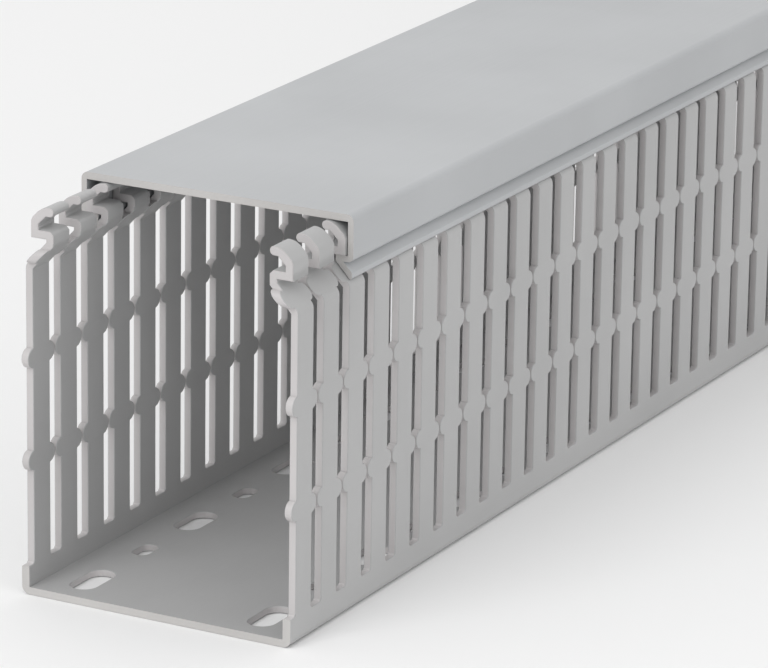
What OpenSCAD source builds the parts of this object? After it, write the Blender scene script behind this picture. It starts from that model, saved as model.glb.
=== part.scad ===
// Slotted wiring duct with a snap-on cover, lying on its back with the cover up.
//
// X runs across the duct, Y along it and Z up. The origin is on the underside, on the
// centre line, halfway along the duct. The duct is one piece: a U-shaped extrusion whose
// floor is punched for screws and whose walls are punched into rows of fingers. The cover is
// a second extrusion that clips over the finger heads and slides along them.
//
// Sections are drawn one side at a time as [d, z]: d is how far a point lies inwards from
// the duct's outside wall and z is its height above the underside.

/* [Duct] */
// Outside width
duct_w = 75; // [50:1:120]
// Height from the underside to the top of the cover
duct_h = 100; // [60:1:140]
// Length of the duct and of its cover
duct_l = 1000; // [200:50:1000]
// Thickness of the side walls and of the finger heads
wall_t = 2.1; // [1.8:0.1:2.4]
// Thickness of the floor
floor_t = 1.9; // [1.5:0.1:2.5]
// Radius of the long bottom edges
edge_r = 2; // [1:0.1:3]

/* [Fingers] */
// Distance from one finger to the next
pitch = 12.5; // [10:0.5:15]
// Width of the slot between two fingers
slot_w = 5; // [4:0.1:6]
// Height of the slots' lower ends above the underside
slot_z = 7.2; // [5:0.1:15]
// Cut across each lower corner of a slot
slot_chamfer = 0.6; // [0.2:0.1:1]

/* [Break-off nubs] */
// Height of the middle of the lowest nubs above the underside
nub_z = 33.7; // [25:0.1:38]
// Distance from one level of nubs to the next
nub_step = 26; // [15:0.5:30]
// Length of a nub along its finger
nub_h = 5.1; // [4.6:0.1:6]
// Slit that is left between two facing nubs
nub_slit = 0.4; // [0.2:0.1:1]

/* [Finger heads] */
// How far below the top of the cover the fingers start to lean inwards
shoulder_drop = 17; // [16.6:0.1:18]
// How far inwards the fingers lean below the head
shoulder_run = 5.8; // [5.4:0.1:6.6]
// How far the leaning stretch rises
shoulder_rise = 6.2; // [5.8:0.1:6.6]
// Outside radius of the fold at the foot of the leaning stretch
fold_r = 2.5; // [1:0.1:3.5]
// Height of the upright back of the groove that the cover clips into
groove_h = 0.8; // [0.6:0.1:1.2]
// Outside radius of the head's springy arm
arm_r = 4.8; // [4.2:0.1:5.2]
// Thickness of the arm
arm_t = 2.3; // [1.8:0.1:2.4]
// Small cut across the head's corners
head_chamfer = 0.5; // [0.2:0.1:0.8]

/* [Cover] */
// Thickness of the cover's top
cover_t = 1.8; // [1.4:0.1:2.2]
// Thickness of the cover's legs and clips
leg_t = 1.5; // [1.2:0.1:1.7]
// How far each leg stands out past the duct's wall
leg_proud = 0.2; // [0:0.1:0.5]
// Radius of the cover's long top edges
cover_r = 1.8; // [0.6:0.1:3]
// Radius below each leg
leg_r = 1.5; // [0.5:0.1:1.6]
// How far inside the wall's face the clip's lower lip ends
lip_in = 0.1; // [0:0.1:0.5]
// Gap between the cover and what it clips over
fit_gap = 0.25; // [0.15:0.05:0.35]
// How far the cover is slid back from the duct's front end
cover_back = 28.5; // [0:0.5:100]

/* [Screw holes] */
// Distance from the duct's side to the middle of a row of holes
hole_inset = 12.5; // [8:0.5:18]
// Distance between two long holes along the duct
hole_step = 50; // [50:5:100]
// Distance from the duct's front end to the middle of the first long hole
hole_start = 12.5; // [10:0.5:25]
// Width of a long hole
long_w = 7; // [4:0.1:8]
// Length of a long hole
long_l = 15; // [10:0.5:18]
// Width of a short hole
short_w = 4.6; // [3.5:0.1:6]
// Length of a short hole
short_l = 8.4; // [7:0.1:10]

/* [Hidden] */

pvc_grey = [0.68, 0.68, 0.67];
over = 1;                      // how far a cutting tool runs past the material
round_fn = 48;
half_w = duct_w / 2;
front_y = -duct_l / 2;

// The leaning stretch of a finger, with the fold at its foot
slope = atan(shoulder_rise / shoulder_run);
shoulder_z = duct_h - shoulder_drop;
fold_turn = 90 - slope;
fold_z = shoulder_z - fold_r * tan(fold_turn / 2);
neck_z = shoulder_z + shoulder_rise;
neck_d = shoulder_run + wall_t;

// The head above it
ledge_z = neck_z + groove_h;
hook_floor_z = ledge_z + wall_t;
head_d = leg_t - leg_proud + fit_gap;
head_in = head_d + wall_t;
head_top = duct_h - cover_t - fit_gap;
nose_r = arm_t / 2;
arm_d = neck_d - nose_r;
arm_z = head_top - arm_r;

// Height of the arm's straight outside face at the depth d: it leaves the arc at 45 degrees
function arm_line_z(d) = arm_z + sqrt(2) * arm_r + d - arm_d;

// Depth at which the arm's straight inside face meets the level underside of its nose
under_d = arm_d + sqrt(2) * (arm_t - arm_r) + arm_r - arm_t;

// Height at the depth d of the leaning stretch's outside face, moved inwards by t
function lean_z(d, t) = shoulder_z + d * tan(slope) - t / cos(slope);

// Depth at the height z of the same face, moved inwards by t
function lean_d(z, t) = (z + t / cos(slope) - shoulder_z) / tan(slope);

// The cover's clips
hook_top = ledge_z - fit_gap;
hook_z = hook_top - leg_t;
hook_d = lean_d(hook_z, -fit_gap);
root_d = lean_d(hook_z, -fit_gap - leg_t);
lip_cut = leg_t / 3;

// Break-off nubs are parts of a circle. On the leaning stretch they are as long as elsewhere,
// measured along the finger, so they are less high.
nub_reach = (slot_w - nub_slit) / 2;
function nub_height(z) = z > shoulder_z ? nub_h * sin(slope) : nub_h;
function nub_radius(h) = (nub_reach * nub_reach + h * h / 4) / (2 * nub_reach);

// Extrudes a section along Y, from the duct's front end moved back by shift
module along(shift, points) {
    translate([0, front_y + shift + duct_l, 0])
        rotate([90, 0, 0])
            linear_extrude(duct_l)
                polygon(points);
}

// Points of an arc of radius r about [d, z], from angle a to angle b
function arc(d, z, r, a, b, steps) =
    [for (i = [0:steps]) let (t = a + (b - a) * i / steps) [d + r * cos(t), z + r * sin(t)]];

// Both sides of a section, from one side's points
function both_sides(points) = concat(
    [for (p = points) [half_w - p[0], p[1]]],
    [for (i = [len(points) - 1:-1:0]) [points[i][0] - half_w, points[i][1]]]);

// The duct's section from the middle of the underside up the wall and round the head: the
// fold, the groove, the upright face, the arm, its nose, and back down inside
function duct_points() = concat(
    arc(edge_r, edge_r, edge_r, 270, 180, 4),
    arc(fold_r, fold_z, fold_r, 180, 180 - fold_turn, 2),
    [[shoulder_run, neck_z],
     [shoulder_run, ledge_z],
     [head_d, ledge_z],
     [head_d, arm_line_z(head_d) - head_chamfer],
     [head_d + head_chamfer, arm_line_z(head_d + head_chamfer)]],
    arc(arm_d, arm_z, arm_r, 135, 90, 2),
    arc(arm_d, head_top - nose_r, nose_r, 45, -90, 3),
    [[under_d, head_top - arm_t],
     [head_in, arm_line_z(head_in) - sqrt(2) * arm_t],
     [head_in, hook_floor_z],
     [neck_d - 2 * head_chamfer, hook_floor_z],
     [neck_d, hook_floor_z - 2 * head_chamfer],
     [neck_d, lean_z(neck_d, wall_t)],
     [wall_t, lean_z(wall_t, wall_t)],
     [wall_t, floor_t]]);

// The cover's section from the middle of its top, down the leg, round the lip and the hook
function cover_points() = concat(
    arc(cover_r - leg_proud, duct_h - cover_r, cover_r, 90, 180, 5),
    arc(leg_r - leg_proud, hook_z + leg_r, leg_r, 180, 270, 4),
    [[root_d, hook_z],
     [lip_in, lean_z(lip_in, -fit_gap - leg_t)],
     [lip_in, lean_z(lip_in, -fit_gap) + 2 * lip_cut],
     [lip_in + lip_cut, lean_z(lip_in + lip_cut, -fit_gap)],
     [hook_d, hook_z],
     [hook_d, hook_top],
     [leg_t - leg_proud, hook_top],
     [leg_t - leg_proud, duct_h - cover_t]]);

// Outline of one slot in the wall, with the round nubs left standing on its sides. A slot
// that runs out of the duct's end has nubs on its near side alone.
module slot_outline(runs_out) {
    far = runs_out ? slot_w : slot_w / 2;
    difference() {
        polygon([
            [slot_chamfer - slot_w / 2, slot_z],
            [far - slot_chamfer, slot_z],
            [far, slot_z + slot_chamfer],
            [far, duct_h + over],
            [-slot_w / 2, duct_h + over],
            [-slot_w / 2, slot_z + slot_chamfer]]);
        for (z = [nub_z:nub_step:neck_z - nub_h / 2], side = runs_out ? [-1] : [-1, 1]) {
            r = nub_radius(nub_height(z));
            translate([side * (slot_w / 2 - nub_reach + r), z])
                circle(r = r, $fn = round_fn);
        }
    }
}

// One slot through both walls, at the distance y from the front end
module slot_at(y) {
    translate([-half_w - over, front_y + y, 0])
        rotate([90, 0, 90])
            linear_extrude(duct_w + 2 * over)
                slot_outline(duct_l - y < slot_w);
}

// A screw hole with round ends through the floor, at the distance y from the front end
module hole_at(side, y, w, l) {
    translate([side * (half_w - hole_inset), front_y + y, -over]) {
        translate([-w / 2, (w - l) / 2, 0])
            cube([w, l - w, floor_t + 2 * over]);
        for (end = [-1, 1])
            translate([0, end * (l - w) / 2, 0])
                cylinder(d = w, h = floor_t + 2 * over, $fn = round_fn);
    }
}

module duct_base() {
    color(pvc_grey)
        difference() {
            along(0, both_sides(duct_points()));
            for (i = [0:floor(duct_l / pitch)])
                slot_at(i * pitch);
            for (side = [-1, 1], y = [hole_start:hole_step:duct_l - long_l])
                hole_at(side, y, long_w, long_l);
            for (side = [-1, 1], y = [hole_start + hole_step / 2:hole_step:duct_l - short_l])
                hole_at(side, y, short_w, short_l);
        }
}

module cover() {
    color(pvc_grey)
        along(cover_back, both_sides(cover_points()));
}

duct_base();
cover();
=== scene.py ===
# %% [markdown]
# A slotted wiring duct with its clip-on cover, finished for a still picture.
#
# The construction model already has the right pieces at the right size, so this file only adds what a
# camera wants: round nubs and holes that stay round in a close-up, the tiny rounded edges that catch
# light, and the three finishes that rigid PVC has after it is extruded, punched and sawn.

import math

import bmesh
import bpy
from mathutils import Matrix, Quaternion, Vector


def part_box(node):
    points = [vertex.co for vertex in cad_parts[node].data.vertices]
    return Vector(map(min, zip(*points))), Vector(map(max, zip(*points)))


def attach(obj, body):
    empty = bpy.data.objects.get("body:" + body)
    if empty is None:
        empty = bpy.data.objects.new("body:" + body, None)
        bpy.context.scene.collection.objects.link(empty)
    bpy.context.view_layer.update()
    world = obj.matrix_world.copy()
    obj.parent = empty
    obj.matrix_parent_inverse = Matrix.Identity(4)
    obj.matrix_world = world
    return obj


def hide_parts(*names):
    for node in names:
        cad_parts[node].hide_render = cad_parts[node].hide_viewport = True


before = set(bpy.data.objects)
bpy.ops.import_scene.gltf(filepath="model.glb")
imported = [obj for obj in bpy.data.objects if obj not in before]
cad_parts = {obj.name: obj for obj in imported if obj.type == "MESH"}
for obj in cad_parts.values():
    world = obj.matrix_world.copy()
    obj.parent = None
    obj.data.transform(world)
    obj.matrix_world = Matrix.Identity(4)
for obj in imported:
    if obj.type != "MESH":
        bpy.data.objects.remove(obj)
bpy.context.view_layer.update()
MM = 0.001
duct_low, duct_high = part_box("duct_base")
cover_low, cover_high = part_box("cover")
front_y = duct_low[1]

# %% [markdown]
# Sizes. A section is drawn one side at a time as (d, z): d is how far a point lies inwards from the
# duct's outside wall, z is its height above the underside, both in millimetres. The overall sizes come
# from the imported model. The others repeat the named sizes of the part's source.

# %% Sizes of the duct and the cover, in millimetres
LENGTH = (duct_high[1] - duct_low[1]) / MM
HALF_WIDTH = (duct_high[0] - duct_low[0]) / 2 / MM
HEIGHT = cover_high[2] / MM
WALL = 2.1
FLOOR = 1.9
BOTTOM_RADIUS = 2.0

PITCH = 12.5
SLOT_WIDTH = 5.0
SLOT_BOTTOM = 7.2
SLOT_CHAMFER = 0.6
HALF_FINGER = (PITCH - SLOT_WIDTH) / 2

NUB_FIRST = 33.7
NUB_STEP = 26.0
NUB_LENGTH = 5.1
NUB_REACH = (SLOT_WIDTH - 0.4) / 2

SHOULDER = HEIGHT - 17.0
LEAN_RUN, LEAN_RISE = 5.8, 6.2
FOLD_RADIUS = 2.5
GROOVE = 0.8
ARM_RADIUS = 4.8
ARM = 2.3
HEAD_CHAMFER = 0.5

COVER = 1.8
LEG = 1.5
LEG_PROUD = 0.2
COVER_RADIUS = 1.8
LEG_RADIUS = 1.5
LIP_IN = 0.1
GAP = 0.25
COVER_BACK = cover_low[1] / MM - front_y / MM

HOLE_INSET = 12.5
HOLE_SPACING = 25.0
LONG_HOLE = (7.0, 15.0)
SHORT_HOLE = (4.6, 8.4)

# %% [markdown]
# Worked-out sizes. The wall leans inwards above its fold, and the head stands on the lean. Every height
# that the head, the groove and the clip share is worked out once, so that they stay in register.

# %% Heights and depths that the pieces share
LEAN_ANGLE = math.atan2(LEAN_RISE, LEAN_RUN)
FOLD_TURN = math.pi / 2 - LEAN_ANGLE
FOLD_START = SHOULDER - FOLD_RADIUS * math.tan(FOLD_TURN / 2)
FOLD_END = FOLD_START + FOLD_RADIUS * math.sin(FOLD_TURN)
NECK = SHOULDER + LEAN_RISE
NECK_DEPTH = LEAN_RUN + WALL
LEDGE = NECK + GROOVE
HOOK_FLOOR = LEDGE + WALL
HEAD_DEPTH = LEG - LEG_PROUD + GAP
HEAD_INSIDE = HEAD_DEPTH + WALL
HEAD_TOP = HEIGHT - COVER - GAP
NOSE = ARM / 2
ARM_DEPTH = NECK_DEPTH - NOSE
ARM_CENTRE = HEAD_TOP - ARM_RADIUS
HOOK_TOP = LEDGE - GAP
HOOK = HOOK_TOP - LEG
LIP_CUT = LEG / 3


def lean_height(d, t):
    """Height at the depth d of the leaning stretch's outside face, moved inwards by t."""
    return SHOULDER + d * math.tan(LEAN_ANGLE) - t / math.cos(LEAN_ANGLE)


def lean_depth(z, t):
    """Depth at the height z of the same face, moved inwards by t."""
    return (z + t / math.cos(LEAN_ANGLE) - SHOULDER) / math.tan(LEAN_ANGLE)


def arm_line(d):
    """Height of the arm's straight outside face at the depth d; it rises at 45 degrees."""
    return ARM_CENTRE + math.sqrt(2) * ARM_RADIUS + d - ARM_DEPTH


def arc(d, z, r, start, end, steps):
    """Points of an arc of radius r about (d, z), with angles in degrees."""
    angles = [math.radians(start + (end - start) * i / steps) for i in range(steps + 1)]
    return [(d + r * math.cos(a), z + r * math.sin(a)) for a in angles]


# %% [markdown]
# A mesh is only points and faces. This small maker keeps one point for each place, so faces that meet
# share their points and the finished piece is closed. Each face also says which finish it shows:
# the extruded skin, a punched face, a sawn end, or a rounded edge between two of them.

# %% A mesh maker that joins faces as it goes
SKIN, PUNCHED, SAWN = 0, 1, 2
ROUNDED_KEY = "rounded"
SOFT_TURN = math.radians(25)
ROUNDED_TURN = math.radians(62)


class Mesh:
    def __init__(self):
        self.index = {}
        self.points = []
        self.faces = []
        self.finish = []
        self.rounded = []

    def point(self, x, y, z):
        """Number of the point at x, y, z in millimetres, with y counted from the front end."""
        key = (round(x, 3), round(y, 3), round(z, 3))
        if key not in self.index:
            self.index[key] = len(self.points)
            self.points.append((x * MM, front_y + y * MM, z * MM))
        return self.index[key]

    def face(self, corners, finish, rounded=False):
        """One flat face through a list of corners; corners that fall together count once."""
        numbers = []
        for c in corners:
            n = self.point(*c)
            if n not in numbers:
                numbers.append(n)
        if len(numbers) > 2:
            self.faces.append(numbers)
            self.finish.append(finish)
            self.rounded.append(rounded)

    def strip(self, row_a, row_b, finish, rounded=False):
        """Quads between two rows of as many points."""
        for i in range(len(row_a) - 1):
            self.face([row_a[i], row_a[i + 1], row_b[i + 1], row_b[i]], finish, rounded)

    def build(self, name, materials):
        """The finished object, with outward normals and soft shading across its rounded edges."""
        data = bpy.data.meshes.new(name)
        data.from_pydata(self.points, [], self.faces)
        data.polygons.foreach_set("material_index", self.finish)
        work = bmesh.new()
        work.from_mesh(data)
        soft = work.faces.layers.int.new(ROUNDED_KEY)
        work.faces.ensure_lookup_table()
        for face, rounded in zip(work.faces, self.rounded):
            face[soft] = int(rounded)
            face.smooth = True
        bmesh.ops.recalc_face_normals(work, faces=work.faces)
        for edge in work.edges:
            turn = edge.calc_face_angle(math.pi)
            bridge = any(f[soft] for f in edge.link_faces)
            edge.smooth = turn < SOFT_TURN or (bridge and turn < ROUNDED_TURN)
        open_edges = sum(1 for e in work.edges if len(e.link_faces) != 2)
        work.to_mesh(data)
        work.free()
        data.attributes.remove(data.attributes[ROUNDED_KEY])
        piece = bpy.data.objects.new(name, data)
        bpy.context.scene.collection.objects.link(piece)
        for material in materials:
            data.materials.append(material)
        weigh = piece.modifiers.new("even shading", "WEIGHTED_NORMAL")
        weigh.keep_sharp = True
        print(name, len(self.points), "points,", len(self.faces), "faces,", open_edges, "open edges")
        return piece


def inset(points, t):
    """The open outline moved t to its right-hand side, with mitred corners."""
    normals = []
    for (a, b), (c, d) in zip(points, points[1:]):
        size = math.hypot(c - a, d - b)
        normals.append(((d - b) / size, (a - c) / size))
    normals = [normals[0], *normals, normals[-1]]
    moved = []
    for (x, y), (p, q), (r, s) in zip(points, normals, normals[1:]):
        k = t / (1 + p * r + q * s)
        moved.append((x + (p + r) * k, y + (q + s) * k))
    return moved


# %% [markdown]
# The three finishes of rigid PVC. The skin comes out of the die satin smooth, with hair-fine lines along
# the duct. A punched face is sheared, so it is duller and a little paler, because the plastic whitens
# where it tears. A sawn end is the palest, with marks across it. Rigid PVC has an IOR of about 1.54.

# %% Colour and node helpers
PVC_IOR = 1.54
DRIFT_PER_METRE = 22.0
LINE_STRETCH = 400
SHINE_SPREAD = 0.06
GRAIN_STRENGTH = 0.6


def linear(hex_colour):
    """An sRGB hex colour as the linear RGBA that shaders use."""
    channels = [int(hex_colour[i:i + 2], 16) / 255 for i in (1, 3, 5)]
    return tuple(c / 12.92 if c <= 0.04045 else ((c + 0.055) / 1.055) ** 2.4 for c in channels) + (1.0,)


def add(tree, kind, settings=None, values=None, links=None):
    """One new node, with its settings, its socket values and the outputs that feed its sockets."""
    node = tree.nodes.new(kind)
    for name, value in (settings or {}).items():
        setattr(node, name, value)
    for socket, value in (values or {}).items():
        node.inputs[socket].default_value = value
    for socket, output in (links or {}).items():
        tree.links.new(output, node.inputs[socket])
    return node


# %% One recipe for a PVC finish
def pvc(name, pale, dark, roughness, line_axis, line_spacing, line_depth, grain):
    """Rigid PVC: a slow colour drift, fine lines across line_axis, and a grain, all of real size."""
    material = bpy.data.materials.new(name)
    material.use_nodes = True
    tree = material.node_tree
    shader = tree.nodes["Principled BSDF"]
    shader.inputs["IOR"].default_value = PVC_IOR
    place = add(tree, "ShaderNodeTexCoord").outputs["Object"]

    drift = add(tree, "ShaderNodeTexNoise", {}, {"Scale": DRIFT_PER_METRE, "Detail": 3.0}, {"Vector": place})
    tone = add(tree, "ShaderNodeMapRange", {}, {"From Min": 0.3, "From Max": 0.7},
               {"Value": drift.outputs["Fac"]})
    colour = add(tree, "ShaderNodeMix", {"data_type": "RGBA"}, {"A": linear(dark), "B": linear(pale)},
                 {"Factor": tone.outputs["Result"]})
    tree.links.new(colour.outputs["Result"], shader.inputs["Base Color"])

    # The lines are long along one axis and a line spacing apart on the others.
    squeeze = [1 / (line_spacing * MM)] * 3
    squeeze["XYZ".index(line_axis)] = 1 / (LINE_STRETCH * line_spacing * MM)
    stretched = add(tree, "ShaderNodeMapping", {}, {"Scale": squeeze}, {"Vector": place})
    lines = add(tree, "ShaderNodeTexNoise", {}, {"Scale": 1.0, "Detail": 2.0},
                {"Vector": stretched.outputs["Vector"]})
    fine = add(tree, "ShaderNodeTexNoise", {}, {"Scale": 1 / (grain * MM), "Detail": 3.0},
               {"Vector": place})
    shine = add(tree, "ShaderNodeMapRange", {},
                {"To Min": roughness - SHINE_SPREAD, "To Max": roughness + SHINE_SPREAD},
                {"Value": lines.outputs["Fac"]})
    tree.links.new(shine.outputs["Result"], shader.inputs["Roughness"])
    grooves = add(tree, "ShaderNodeBump", {}, {"Strength": 1.0, "Distance": line_depth * MM},
                  {"Height": lines.outputs["Fac"]})
    relief = add(tree, "ShaderNodeBump", {}, {"Strength": GRAIN_STRENGTH, "Distance": line_depth * MM},
                 {"Height": fine.outputs["Fac"], "Normal": grooves.outputs["Normal"]})
    tree.links.new(relief.outputs["Normal"], shader.inputs["Normal"])
    return material


# %% The finishes themselves
# Die lines are really a few hundredths of a millimetre apart; 0.35 mm is drawn so that they show.
duct_skin = pvc("rigid PVC stone grey, extruded satin", "#b4b4b4", "#adadad", 0.42, "Y", 0.35, 0.012, 0.5)
cover_skin = pvc("rigid PVC light grey, extruded satin", "#b5b7b9", "#aeb0b2", 0.38, "Y", 0.35, 0.010, 0.5)
# Punching leaves short shear marks through the wall's thickness.
punched_face = pvc("rigid PVC stone grey, punched edge", "#c4c1c1", "#b9b6b6", 0.55, "X", 0.25, 0.03, 0.3)
# Saw marks run across the end, one for each tooth.
sawn_end = pvc("rigid PVC stone grey, sawn end", "#c2c0be", "#b6b4b2", 0.60, "X", 0.5, 0.04, 0.25)

# %% [markdown]
# The finger wall. On the real duct the wall is extruded whole and slots are then punched through it, which
# leaves fingers with break-off nubs. A boolean could cut it, but a mesh is cleaner if it is written as what
# it is: one outline of half a slot, laid on the wall's outside and inside, with the cut face between them.
# First come the outline and the depth of the wall's two faces at each height.

# %% The outline of one side of a finger
NUB_STEPS = 8
FOLD_STEPS = 4
ARM_STEPS = 5
NOSE_STEPS = 9
EDGE = 0.22


def nub_heights():
    """The middle of each level of nubs, as many levels as fit below the neck."""
    count = int((NECK - NUB_LENGTH / 2 - NUB_FIRST) / NUB_STEP) + 1
    return [NUB_FIRST + i * NUB_STEP for i in range(count)]


def nub_points(z):
    """Points (w, z) round one nub, w being the distance from the finger's centre line."""
    length = NUB_LENGTH * math.sin(LEAN_ANGLE) if z > SHOULDER else NUB_LENGTH
    r = (NUB_REACH ** 2 + length ** 2 / 4) / (2 * NUB_REACH)
    start = math.asin(min(1.0, length / 2 / r))
    if r < NUB_REACH:
        start = math.pi - start
    centre = HALF_FINGER + NUB_REACH - r
    turns = [start * (2 * i / NUB_STEPS - 1) for i in range(NUB_STEPS + 1)]
    return [(centre + r * math.cos(a), z + r * math.sin(a)) for a in turns]


def finger_outline():
    """Points (w, z) from the middle of the slot's floor up one side of a finger to its neck."""
    half_slot = SLOT_WIDTH / 2
    points = [(PITCH / 2, SLOT_BOTTOM),
              (PITCH / 2 - half_slot + SLOT_CHAMFER, SLOT_BOTTOM),
              (HALF_FINGER, SLOT_BOTTOM + SLOT_CHAMFER)]
    fold_end = 180 - math.degrees(FOLD_TURN)
    fold = [z for _, z in arc(FOLD_RADIUS, FOLD_START, FOLD_RADIUS, 180, fold_end, FOLD_STEPS)]
    bends = fold + [lean_height(WALL, WALL), lean_height(NECK_DEPTH, WALL), NECK]
    rows = [(z, [(HALF_FINGER, z)]) for z in bends] + [(z, nub_points(z)) for z in nub_heights()]
    for _, part in sorted(rows, key=lambda row: row[0]):
        points += part
    return points


def outside(z):
    """Depth of the wall's outside face at the height z, up to the neck."""
    if z <= FOLD_START:
        return 0.0
    if z < FOLD_END:
        return FOLD_RADIUS - math.sqrt(FOLD_RADIUS ** 2 - (z - FOLD_START) ** 2)
    return lean_depth(z, 0)


def inside(z):
    """Depth of the wall's inside face at the height z, up to the neck."""
    return min(max(WALL, lean_depth(z, WALL)), NECK_DEPTH)


# %% The outline of a head, from the wall's outside face round to its inside face
def head_outline():
    return [(LEAN_RUN, NECK),
            (LEAN_RUN, LEDGE),
            (HEAD_DEPTH, LEDGE),
            (HEAD_DEPTH, arm_line(HEAD_DEPTH) - HEAD_CHAMFER),
            (HEAD_DEPTH + HEAD_CHAMFER, arm_line(HEAD_DEPTH + HEAD_CHAMFER)),
            *arc(ARM_DEPTH, ARM_CENTRE, ARM_RADIUS, 135, 90, ARM_STEPS),
            *arc(ARM_DEPTH, HEAD_TOP - NOSE, NOSE, 72, -90, NOSE_STEPS),
            (ARM_DEPTH + math.sqrt(2) * (ARM - ARM_RADIUS) + ARM_RADIUS - ARM, HEAD_TOP - ARM),
            (HEAD_INSIDE, arm_line(HEAD_INSIDE) - math.sqrt(2) * ARM),
            (HEAD_INSIDE, HOOK_FLOOR),
            (NECK_DEPTH - 2 * HEAD_CHAMFER, HOOK_FLOOR),
            (NECK_DEPTH, HOOK_FLOOR - 2 * HEAD_CHAMFER),
            (NECK_DEPTH, NECK)]


# %% [markdown]
# One finger. The outline's points are kept where the slot was punched, and a second set is moved into the
# material by the edge's rounding. The outside and inside faces take the second set, the cut face takes the
# first, and narrow strips between them round the edges over, as shearing does.

# %% One finger with its stretch of wall
def add_finger(mesh, side, y):
    """A finger on the wall at side -1 or 1, with its centre line y from the front end."""
    def at(d, w, z):
        return (side * (HALF_WIDTH - d), y + w, z)

    cut = finger_outline()
    skin = inset(cut, -EDGE)
    skin[-1] = (HALF_FINGER - EDGE, NECK)
    for way in (-1, 1):
        out_skin = [at(outside(z), way * w, z) for w, z in skin]
        out_cut = [at(outside(z) + EDGE, way * w, z) for w, z in cut]
        in_cut = [at(inside(z) - EDGE, way * w, z) for w, z in cut]
        in_skin = [at(inside(z), way * w, z) for w, z in skin]
        mesh.strip(out_skin, out_cut, SKIN, rounded=True)
        mesh.strip(out_cut, in_cut, PUNCHED)
        mesh.strip(in_cut, in_skin, SKIN, rounded=True)
    root = skin[1:]
    for face_depth in (outside, inside):
        mesh.strip([at(face_depth(z), -w, z) for w, z in root],
                   [at(face_depth(z), w, z) for w, z in root], SKIN)

    # The plain strip of wall below the slots
    top, corner = skin[0][1], skin[1][0]
    for d, bottom in ((0.0, BOTTOM_RADIUS), (WALL, FLOOR)):
        mesh.face([at(d, -PITCH / 2, bottom), at(d, PITCH / 2, bottom), at(d, PITCH / 2, top),
                   at(d, corner, top), at(d, -corner, top), at(d, -PITCH / 2, top)], SKIN)

    # The head
    full = head_outline()
    small = inset(full, EDGE)
    small[0] = (full[0][0] + EDGE, NECK)
    small[-1] = (full[-1][0] - EDGE, NECK)
    width = HALF_FINGER - EDGE
    mesh.strip([at(d, -width, z) for d, z in full], [at(d, width, z) for d, z in full], SKIN)
    for way in (-1, 1):
        mesh.strip([at(d, way * width, z) for d, z in full],
                   [at(d, way * HALF_FINGER, z) for d, z in small], PUNCHED, rounded=True)
        mesh.face([at(d, way * HALF_FINGER, z) for d, z in small], PUNCHED)


# %% [markdown]
# The floor. It is laid out in tiles as long as the holes are apart, 25 mm: a tile round each hole and plain
# tiles between. Each tile round a hole is made of two halves, because a face can't have a hole in it.

# %% The floor with its screw holes
TILE_HALF_WIDTH = 6.0
HOLE_ROW = HALF_WIDTH - HOLE_INSET
HOLE_STEPS = 8
BEND_STEPS = 6
BOTTOM_BEND = arc(BOTTOM_RADIUS, BOTTOM_RADIUS, BOTTOM_RADIUS, 270, 180, BEND_STEPS)


def hole_outline(width, length):
    """The right-hand half of a round-ended hole, as (x, y) about its middle."""
    r, reach = width / 2, (length - width) / 2
    right = arc(0, reach, r, 90, 0, HOLE_STEPS)
    return right + [(x, -y) for x, y in reversed(right)]


def add_hole(mesh, side, y, width, length):
    """A tile of the floor with a hole through it."""
    centre = side * HOLE_ROW
    half = HOLE_SPACING / 2
    for way in (-1, 1):
        def ring(grow, z):
            outline = hole_outline(width + 2 * grow, length + 2 * grow)
            return [(centre + way * px, y + py, z) for px, py in outline]

        rings = [ring(EDGE, FLOOR), ring(0, FLOOR - EDGE), ring(0, EDGE), ring(EDGE, 0)]
        mesh.strip(rings[0], rings[1], SKIN, rounded=True)
        mesh.strip(rings[1], rings[2], PUNCHED)
        mesh.strip(rings[2], rings[3], SKIN, rounded=True)
        for edge, z in ((rings[0], FLOOR), (rings[3], 0.0)):
            far = centre + way * TILE_HALF_WIDTH
            tile_edge = [(centre, y - half, z), (far, y - half, z), (far, y + half, z), (centre, y + half, z)]
            mesh.face(tile_edge + edge, SKIN)


def add_plain_floor(mesh, y):
    """The floor's plain tiles beside the holes, and the round bottom edges."""
    half = HOLE_SPACING / 2
    inner, outer = HOLE_ROW - TILE_HALF_WIDTH, HOLE_ROW + TILE_HALF_WIDTH
    for z, edge in ((FLOOR, HALF_WIDTH - WALL), (0.0, HALF_WIDTH - BOTTOM_RADIUS)):
        mesh.face([(-inner, y - half, z), (inner, y - half, z),
                   (inner, y + half, z), (-inner, y + half, z)], SKIN)
        for side in (-1, 1):
            mesh.face([(side * outer, y - half, z), (side * edge, y - half, z), (side * edge, y, z),
                       (side * edge, y + half, z), (side * outer, y + half, z)], SKIN)
    for side in (-1, 1):
        for start in (y - half, y):
            mesh.strip([(side * (HALF_WIDTH - d), start, z) for d, z in BOTTOM_BEND],
                       [(side * (HALF_WIDTH - d), start + half, z) for d, z in BOTTOM_BEND], SKIN)


def add_sawn_end(mesh, y):
    """The duct's end below the slots, where the saw went through the middle of a slot."""
    stops = [HOLE_ROW + TILE_HALF_WIDTH, HOLE_ROW, HOLE_ROW - TILE_HALF_WIDTH]
    right = [(x, 0.0) for x in reversed(stops)] + [(HALF_WIDTH - d, z) for d, z in BOTTOM_BEND]
    right += [(HALF_WIDTH, SLOT_BOTTOM - EDGE), (HALF_WIDTH - EDGE, SLOT_BOTTOM),
              (HALF_WIDTH - WALL + EDGE, SLOT_BOTTOM), (HALF_WIDTH - WALL, SLOT_BOTTOM - EDGE),
              (HALF_WIDTH - WALL, FLOOR)]
    right += [(x, FLOOR) for x in stops]
    loop = right + [(-x, z) for x, z in reversed(right)]
    mesh.face([(x, y, z) for x, z in loop], SAWN)


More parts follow.
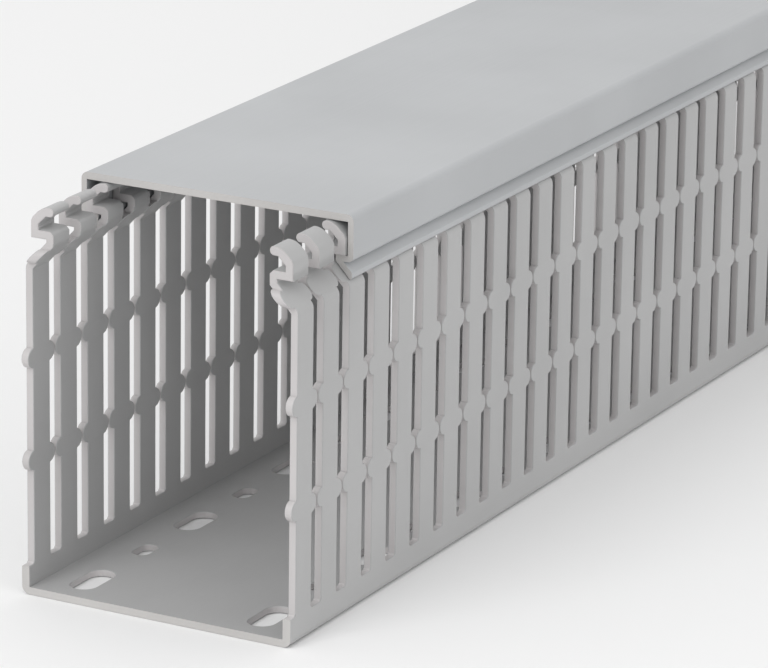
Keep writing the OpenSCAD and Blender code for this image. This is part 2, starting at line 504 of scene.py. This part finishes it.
# %% The whole duct as one closed mesh
duct_mesh = Mesh()
for number in range(round(LENGTH / PITCH)):
    for wall_side in (-1, 1):
        add_finger(duct_mesh, wall_side, (number + 0.5) * PITCH)
for number in range(round(LENGTH / HOLE_SPACING)):
    middle = (number + 0.5) * HOLE_SPACING
    add_plain_floor(duct_mesh, middle)
    for wall_side in (-1, 1):
        add_hole(duct_mesh, wall_side, middle, *(SHORT_HOLE if number % 2 else LONG_HOLE))
add_sawn_end(duct_mesh, 0.0)
add_sawn_end(duct_mesh, LENGTH)
duct = duct_mesh.build("punched_duct", [duct_skin, punched_face, sawn_end])
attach(duct, "duct")
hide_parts("duct_base")

# %% [markdown]
# The cover is one extrusion: a flat top, two legs, and on each leg a clip whose hook sits in the groove of
# the finger heads. It is drawn as one closed section and pulled along Y, with its sawn ends left crisp.

# %% The cover
CORNER_STEPS = 8


def cover_side():
    """Half of the cover's section, from its top edge down the leg and round the clip to the underside."""
    return [*arc(COVER_RADIUS - LEG_PROUD, HEIGHT - COVER_RADIUS, COVER_RADIUS, 90, 180, CORNER_STEPS),
            *arc(LEG_RADIUS - LEG_PROUD, HOOK + LEG_RADIUS, LEG_RADIUS, 180, 270, CORNER_STEPS),
            (lean_depth(HOOK, -GAP - LEG), HOOK),
            (LIP_IN, lean_height(LIP_IN, -GAP - LEG)),
            (LIP_IN, lean_height(LIP_IN, -GAP) + 2 * LIP_CUT),
            (LIP_IN + LIP_CUT, lean_height(LIP_IN + LIP_CUT, -GAP)),
            (lean_depth(HOOK, -GAP), HOOK),
            (lean_depth(HOOK, -GAP), HOOK_TOP),
            (LEG - LEG_PROUD, HOOK_TOP),
            (LEG - LEG_PROUD, HEIGHT - COVER)]


half_section = cover_side()
section = [(HALF_WIDTH - d, z) for d, z in half_section]
section += [(d - HALF_WIDTH, z) for d, z in reversed(half_section)]
cover_mesh = Mesh()
ends = (COVER_BACK, COVER_BACK + LENGTH)
loop = section + section[:1]
cover_mesh.strip([(x, ends[0], z) for x, z in loop], [(x, ends[1], z) for x, z in loop], SKIN)
for end in ends:
    cover_mesh.face([(x, end, z) for x, z in section], SAWN)
cover = cover_mesh.build("clip_on_cover", [cover_skin, punched_face, sawn_end])
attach(cover, "lid")
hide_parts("cover")

# %% [markdown]
# The stage: a pale floor that runs out of sight, a white sky for even light, a large soft lamp in front and
# above for the ends and the top, and a weaker one from the right. None of it belongs to the part.

# %% Floor, sky and lamps
# The floor lies a tenth of a millimetre under the duct, so that the two faces don't flicker.
FLOOR_REACH, FLOOR_DROP = 60.0, -0.0001
SKY_STRENGTH = 0.85
corners = [(-1, -1), (1, -1), (1, 1), (-1, 1)]
floor_mesh = bpy.data.meshes.new("studio_floor")
floor_mesh.from_pydata([(x * FLOOR_REACH, y * FLOOR_REACH, FLOOR_DROP) for x, y in corners], [], [(0, 1, 2, 3)])
studio_floor = bpy.data.objects.new("studio_floor", floor_mesh)
bpy.context.scene.collection.objects.link(studio_floor)
paint = bpy.data.materials.new("white studio floor paint, matt")
paint.use_nodes = True
matt = paint.node_tree.nodes["Principled BSDF"].inputs
matt["Base Color"].default_value = linear("#f4f4f4")
matt["Roughness"].default_value = 0.9
floor_mesh.materials.append(paint)

sky = bpy.data.worlds.new("white studio")
sky.use_nodes = True
glow = sky.node_tree.nodes["Background"].inputs
glow["Color"].default_value = linear("#ffffff")
glow["Strength"].default_value = SKY_STRENGTH
bpy.context.scene.world = sky
bpy.context.scene.view_settings.view_transform = "Standard"

subject = Vector((0.0, front_y, HEIGHT / 2 * MM))


def softbox(name, azimuth, elevation, distance, size, watts):
    """A square soft lamp that faces the front end of the duct."""
    a, e = math.radians(azimuth), math.radians(elevation)
    away = Vector((math.sin(a) * math.cos(e), -math.cos(a) * math.cos(e), math.sin(e)))
    light = bpy.data.lights.new(name, "AREA")
    light.size = size
    light.energy = watts
    lamp = bpy.data.objects.new(name, light)
    lamp.location = subject + away * distance
    lamp.rotation_euler = away.to_track_quat("Z", "Y").to_euler()
    lamp.visible_camera = False
    bpy.context.scene.collection.objects.link(lamp)
    return lamp


softbox("front softbox", -12, 42, 2.0, 1.2, 14)
softbox("right softbox", 80, 30, 2.5, 1.5, 3)

# %% [markdown]
# The camera stands to the right of the front end and a little above it, far away with a long lens, so the
# duct runs out of the picture at the top right with hardly any change in size.

# %% Camera
AIM = Vector((0.0615, front_y, 0.0822))
AZIMUTH, ELEVATION, ROLL = math.radians(28.14), math.radians(17.42), math.radians(-0.854)
DISTANCE = 1.1787
LENS, SIGHT = 239.8, 200
back = Vector((math.sin(AZIMUTH) * math.cos(ELEVATION), -math.cos(AZIMUTH) * math.cos(ELEVATION),
               math.sin(ELEVATION)))
lens = bpy.data.cameras.new("long lens")
lens.lens = LENS
lens.clip_end = SIGHT
camera = bpy.data.objects.new("camera", lens)
camera.location = AIM + back * DISTANCE
camera.rotation_mode = "QUATERNION"
camera.rotation_quaternion = Quaternion(-back, ROLL) @ (-back).to_track_quat("-Z", "Y")
bpy.context.scene.collection.objects.link(camera)
bpy.context.scene.camera = camera
